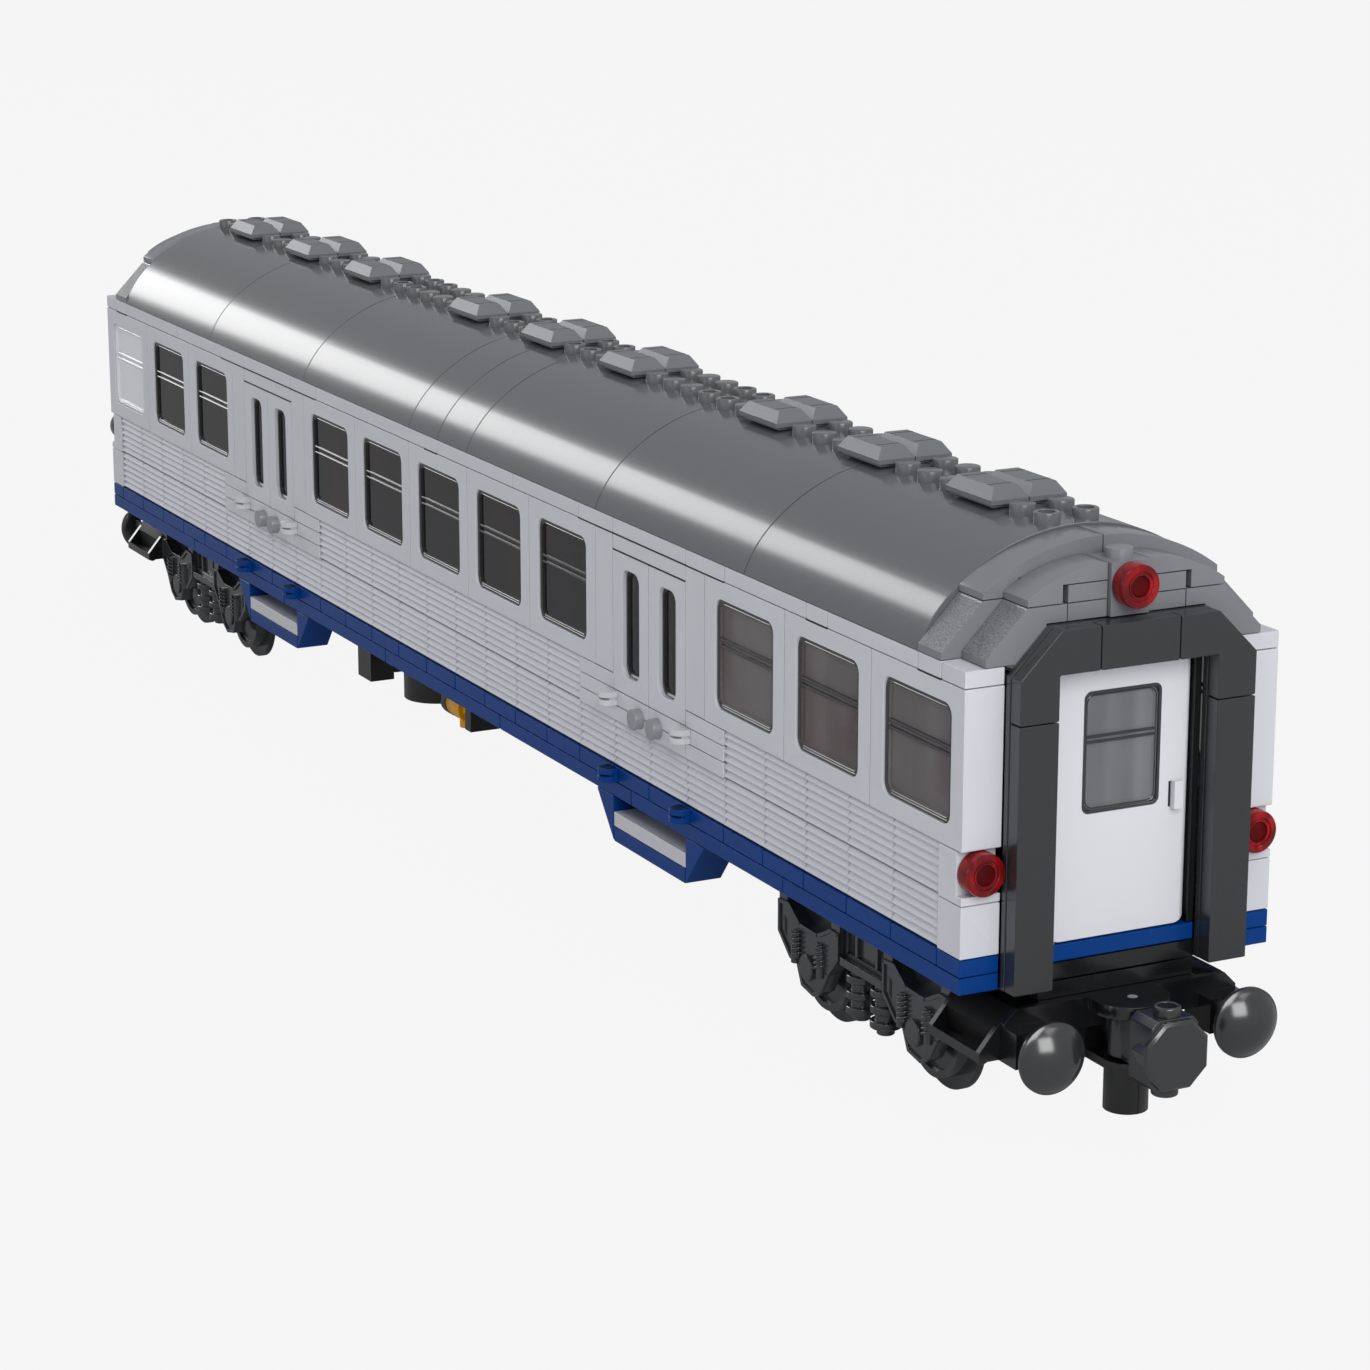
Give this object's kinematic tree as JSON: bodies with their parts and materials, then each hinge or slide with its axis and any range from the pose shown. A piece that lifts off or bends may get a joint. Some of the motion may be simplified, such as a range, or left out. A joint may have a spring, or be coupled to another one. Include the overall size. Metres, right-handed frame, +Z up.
{
  "type": "brick-built toy railway carriage",
  "caption": "Toy railway passenger carriage built of studded bricks, with a curved roof, ribbed sides, end doors and two swivelling bogies with couplers.",
  "frame": {"origin": "under the middle of the body, on the plane that the wheel flanges touch", "axes": "+X along the carriage towards the end that the picture shows, +Z up, +Y across to the side that the picture doesn't show"},
  "size_m": [0.488, 0.0706, 0.1088],
  "materials": {
    "wall_grey": "glossy moulded light grey",
    "blue": "glossy moulded dark blue",
    "roof_grey": "glossy moulded dark grey",
    "frame_grey": "moulded dark grey",
    "black": "moulded black",
    "light_grey": "moulded light grey",
    "mid_grey": "moulded mid grey",
    "brown": "moulded reddish brown",
    "yellow": "moulded bright yellow",
    "smoky_glass": "clear smoky brown plastic",
    "frosted": "milky white",
    "red_lamp": "clear red plastic"
  },
  "bodies": {
    "body": {"band_left": "blue", "band_right": "blue", "end_sills": "blue", "ribbed_bricks_left": "wall_grey", "ribbed_bricks_right": "wall_grey", "walls_left": "wall_grey", "walls_right": "wall_grey", "window_frames_left": "wall_grey", "window_frames_right": "wall_grey", "window_glass_left": "smoky_glass", "window_glass_right": "smoky_glass", "door_leaves_left": "wall_grey", "door_leaves_right": "wall_grey", "door_steps_left": "blue", "door_steps_right": "blue", "frosted_glass": "frosted", "door_clips": "light_grey", "door_knobs": "mid_grey", "step_treads": "light_grey", "floor": "black", "seats": "brown", "roof_panels": "roof_grey", "roof_vents": "roof_grey", "underframe_boxes": "black", "valve": "yellow", "end_lamps": "red_lamp", "gangway_near": "frame_grey", "gangway_far": "frame_grey", "door_frame_near": "black", "door_frame_far": "black", "roof_end_near": "roof_grey", "roof_end_far": "roof_grey"},
    "end_door_near": {"end_door_near": "wall_grey", "end_door_glass_near": "smoky_glass"},
    "bogie_near": {"bogie_plate_near": "black", "wheel_holders_near": "frame_grey", "bogie_centre_near": "frame_grey", "buffer_beam_near": "black", "buffers_near": "black"},
    "coupler_near": {"coupler_near": "black"},
    "wheelset_inner_near": {"wheelset_inner_near": "black"},
    "wheelset_outer_near": {"wheelset_outer_near": "black"},
    "end_door_far": {"end_door_far": "wall_grey", "end_door_glass_far": "smoky_glass"},
    "bogie_far": {"bogie_plate_far": "black", "wheel_holders_far": "frame_grey", "bogie_centre_far": "frame_grey", "buffer_beam_far": "black", "buffers_far": "black"},
    "coupler_far": {"coupler_far": "black"},
    "wheelset_inner_far": {"wheelset_inner_far": "black"},
    "wheelset_outer_far": {"wheelset_outer_far": "black"}
  },
  "joints": [
    {"name": "bogie_swivel_near", "type": "hinge", "parent": "body", "child": "bogie_near", "pos_m": [0.176, 0, 0.0283], "axis": [0, 0, 1], "range_deg": [-30, 30]},
    {"name": "coupler_swivel_near", "type": "hinge", "parent": "bogie_near", "child": "coupler_near", "pos_m": [0.2281, 0, 0.0187], "axis": [0, 0, 1], "range_deg": [-18, 18]},
    {"name": "end_door_hinge_near", "type": "hinge", "parent": "body", "child": "end_door_near", "pos_m": [0.2222, -0.0128, 0.0627], "axis": [0, 0, 1], "range_deg": [0, 90]},
    {"name": "wheelset_spin_inner_near", "type": "hinge", "parent": "bogie_near", "child": "wheelset_inner_near", "pos_m": [0.156, 0, 0.0114], "axis": [0, 1, 0], "continuous": true},
    {"name": "wheelset_spin_outer_near", "type": "hinge", "parent": "bogie_near", "child": "wheelset_outer_near", "pos_m": [0.196, 0, 0.0114], "axis": [0, 1, 0], "continuous": true},
    {"name": "bogie_swivel_far", "type": "hinge", "parent": "body", "child": "bogie_far", "pos_m": [-0.176, 0, 0.0283], "axis": [0, 0, 1], "range_deg": [-30, 30]},
    {"name": "coupler_swivel_far", "type": "hinge", "parent": "bogie_far", "child": "coupler_far", "pos_m": [-0.2281, 0, 0.0187], "axis": [0, 0, 1], "range_deg": [-18, 18]},
    {"name": "end_door_hinge_far", "type": "hinge", "parent": "body", "child": "end_door_far", "pos_m": [-0.2222, 0.0128, 0.0627], "axis": [0, 0, 1], "range_deg": [0, 90]},
    {"name": "wheelset_spin_inner_far", "type": "hinge", "parent": "bogie_far", "child": "wheelset_inner_far", "pos_m": [-0.156, 0, 0.0114], "axis": [0, 1, 0], "continuous": true},
    {"name": "wheelset_spin_outer_far", "type": "hinge", "parent": "bogie_far", "child": "wheelset_outer_far", "pos_m": [-0.196, 0, 0.0114], "axis": [0, 1, 0], "continuous": true}
  ]
}
